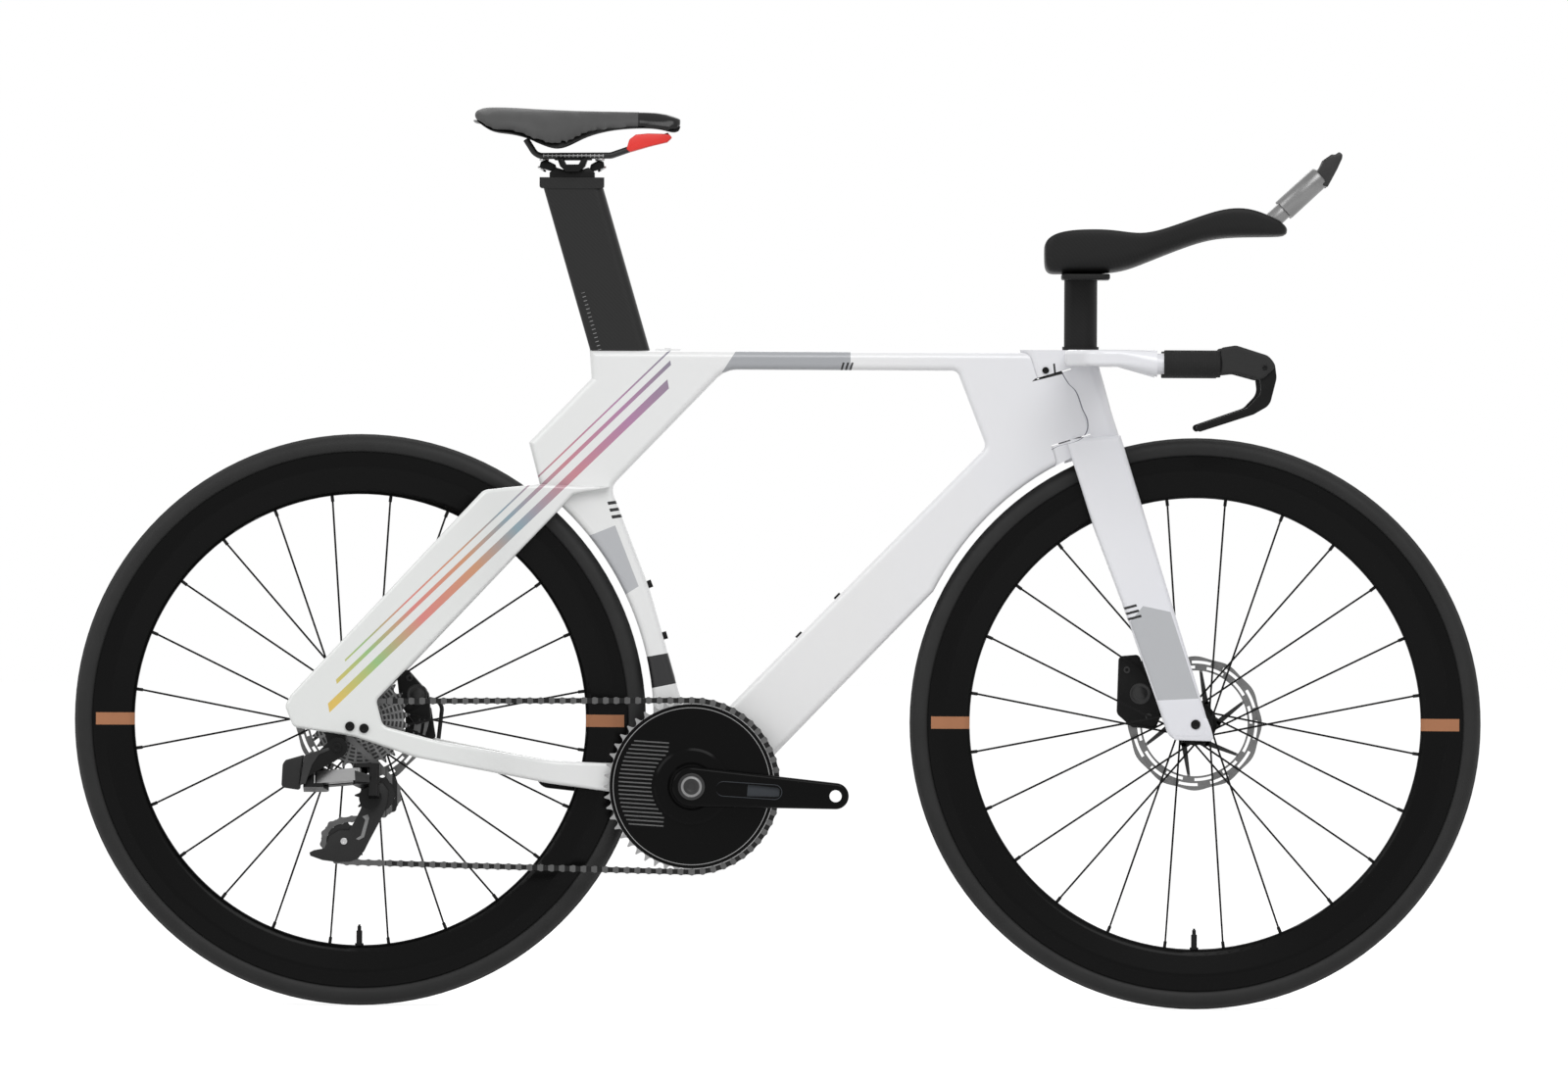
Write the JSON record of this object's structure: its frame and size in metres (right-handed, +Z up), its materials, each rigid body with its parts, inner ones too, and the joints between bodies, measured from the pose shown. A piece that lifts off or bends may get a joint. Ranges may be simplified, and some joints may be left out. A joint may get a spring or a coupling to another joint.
{
  "type": "time trial bicycle",
  "caption": "Aero time trial bicycle with deep rims, disc brakes, one chainring, electronic rear derailleur, base bar, arm rests and extensions; it steers, rolls, pedals, shifts and brakes.",
  "frame": {"origin": "on the ground in the plane of symmetry, midway between the axles", "axes": "+X forward, +Y to the rider's left, +Z up"},
  "size_m": [1.659, 0.412, 1.0575],
  "materials": {
    "paint": "gloss pearl",
    "carbon": "satin carbon",
    "tyre": "matt",
    "spoke": "black",
    "black_alloy": "black anodised",
    "steel": "brushed",
    "grey_alloy": "dark grey",
    "pad_compound": "rough",
    "rubber": "matt",
    "cushion": "smooth",
    "tape": "matt",
    "rail": "satin",
    "red_cover": "gloss",
    "plastic": "satin"
  },
  "bodies": {
    "frame": {"front_triangle": "paint", "rear_stay_right": "paint", "rear_stay_left": "paint", "seatpost_wedge": "carbon", "bottom_bracket": "black_alloy", "rear_axle": "black_alloy", "rear_caliper": "black_alloy", "rear_pads": "pad_compound", "rear_brake_hose": "rubber", "derailleur_hanger": "black_alloy", "frame_bolts": "steel", "headset_bearings": "steel", "derailleur_b_knuckle": "black_alloy", "derailleur_battery": "plastic", "chain": "steel"},
    "seat": {"seatpost": "carbon", "saddle_clamp": "black_alloy", "saddle_rails": "rail", "saddle_shell": "carbon", "saddle_pad": "cushion", "saddle_nose_cover": "red_cover"},
    "steering": {"fork": "paint", "base_bar": "carbon", "bar_tapes": "tape", "brake_hoods": "rubber", "riser": "carbon", "riser_bracket": "carbon", "arm_rests": "carbon", "extension_grips": "rubber", "front_axle": "black_alloy", "front_caliper": "black_alloy", "front_pads": "pad_compound"},
    "brake_lever_right": {"brake_lever_right": "plastic"},
    "brake_lever_left": {"brake_lever_left": "plastic"},
    "shift_button_right": {"shift_button_right": "plastic"},
    "shift_button_left": {"shift_button_left": "plastic"},
    "front_wheel": {"front_tyre": "tyre", "front_rim": "carbon", "front_spokes": "spoke", "front_hub": "black_alloy", "front_bearings": "steel", "front_rotor": "steel"},
    "rear_wheel": {"rear_tyre": "tyre", "rear_rim": "carbon", "rear_spokes": "spoke", "rear_hub": "black_alloy", "rear_bearings": "steel", "rear_rotor": "steel"},
    "cassette": {"cassette": "steel", "freehub": "black_alloy"},
    "crankset": {"crank_right": "carbon", "crank_left": "carbon", "chainring": "grey_alloy", "chainring_spider": "black_alloy"},
    "derailleur_outer_link": {"derailleur_outer_link": "black_alloy"},
    "derailleur_inner_link": {"derailleur_inner_link": "black_alloy"},
    "derailleur_p_knuckle": {"derailleur_p_knuckle": "black_alloy"},
    "derailleur_cage": {"derailleur_cage": "black_alloy"},
    "guide_pulley": {"guide_pulley": "plastic"},
    "tension_pulley": {"tension_pulley": "plastic"}
  },
  "joints": [
    {"name": "seatpost_height", "type": "slide", "parent": "frame", "child": "seat", "axis": [-0.2807, 0, 0.9598], "range_m": [-0.005, 0.03]},
    {"name": "steering", "type": "hinge", "parent": "frame", "child": "steering", "pos_m": [0.44947, 0, 0.32384], "axis": [-0.2924, 0, 0.9563], "range_deg": [-30, 30]},
    {"name": "brake_lever_right_pull", "type": "hinge", "parent": "steering", "child": "brake_lever_right", "pos_m": [0.57, -0.19, 0.757], "axis": [0, 1, 0], "range_deg": [0, 20], "stiffness_Nm_per_rad": 2},
    {"name": "brake_lever_left_pull", "type": "hinge", "parent": "steering", "child": "brake_lever_left", "pos_m": [0.57, 0.19, 0.757], "axis": [0, 1, 0], "range_deg": [0, 20], "stiffness_Nm_per_rad": 2},
    {"name": "shift_button_right_press", "type": "slide", "parent": "steering", "child": "shift_button_right", "axis": [0.682, 0, -0.7314], "range_m": [0, 0.0008], "stiffness_N_per_m": 500},
    {"name": "shift_button_left_press", "type": "slide", "parent": "steering", "child": "shift_button_left", "axis": [0.682, 0, -0.7314], "range_m": [0, 0.0008], "stiffness_N_per_m": 500},
    {"name": "front_wheel_spin", "type": "hinge", "parent": "steering", "child": "front_wheel", "pos_m": [0.4925, 0, 0.337], "axis": [0, 1, 0], "continuous": true},
    {"name": "rear_wheel_spin", "type": "hinge", "parent": "frame", "child": "rear_wheel", "pos_m": [-0.4925, 0, 0.337], "axis": [0, 1, 0], "continuous": true},
    {"name": "crank_spin", "type": "hinge", "parent": "frame", "child": "crankset", "pos_m": [-0.1005, 0, 0.261], "axis": [0, 1, 0], "continuous": true, "deforming": ["chain"]},
    {"name": "cassette_spin", "type": "hinge", "parent": "frame", "child": "cassette", "pos_m": [-0.4925, 0, 0.337], "axis": [0, 1, 0], "continuous": true, "deforming": ["chain"]},
    {"name": "derailleur_shift", "type": "hinge", "parent": "frame", "child": "derailleur_outer_link", "pos_m": [-0.539, -0.07759, 0.26911], "axis": [0, 0.2588, 0.9659], "range_deg": [0, 40], "deforming": ["chain"]},
    {"name": "derailleur_inner_link_swing", "type": "hinge", "parent": "frame", "child": "derailleur_inner_link", "pos_m": [-0.533, -0.066, 0.266], "axis": [0, 0.2588, 0.9659], "range_deg": [0, 40], "deforming": ["chain"]},
    {"name": "derailleur_p_knuckle_swing", "type": "hinge", "parent": "derailleur_outer_link", "child": "derailleur_p_knuckle", "pos_m": [-0.49201, -0.09411, 0.27353], "axis": [0, 0.2588, 0.9659], "range_deg": [-40, 0], "deforming": ["chain"]},
    {"name": "cage_swing", "type": "hinge", "parent": "derailleur_p_knuckle", "child": "derailleur_cage", "pos_m": [-0.478, -0.0618, 0.246], "axis": [0, 1, 0], "range_deg": [-18, 25], "stiffness_Nm_per_rad": 1, "deforming": ["chain"]},
    {"name": "guide_pulley_spin", "type": "hinge", "parent": "derailleur_cage", "child": "guide_pulley", "pos_m": [-0.46991, -0.0618, 0.24982], "axis": [0, 1, 0], "continuous": true, "deforming": ["chain"]},
    {"name": "tension_pulley_spin", "type": "hinge", "parent": "derailleur_cage", "child": "tension_pulley", "pos_m": [-0.50919, -0.0618, 0.1947], "axis": [0, 1, 0], "continuous": true, "deforming": ["chain"]}
  ],
  "couplings": [
    {"joint": "cassette_spin", "follows": "crank_spin", "ratio": 4.5455},
    {"joint": "guide_pulley_spin", "follows": "crank_spin", "ratio": -4.1667},
    {"joint": "tension_pulley_spin", "follows": "crank_spin", "ratio": 4.1667},
    {"joint": "derailleur_inner_link_swing", "follows": "derailleur_shift", "ratio": 1},
    {"joint": "derailleur_p_knuckle_swing", "follows": "derailleur_shift", "ratio": -1}
  ]
}
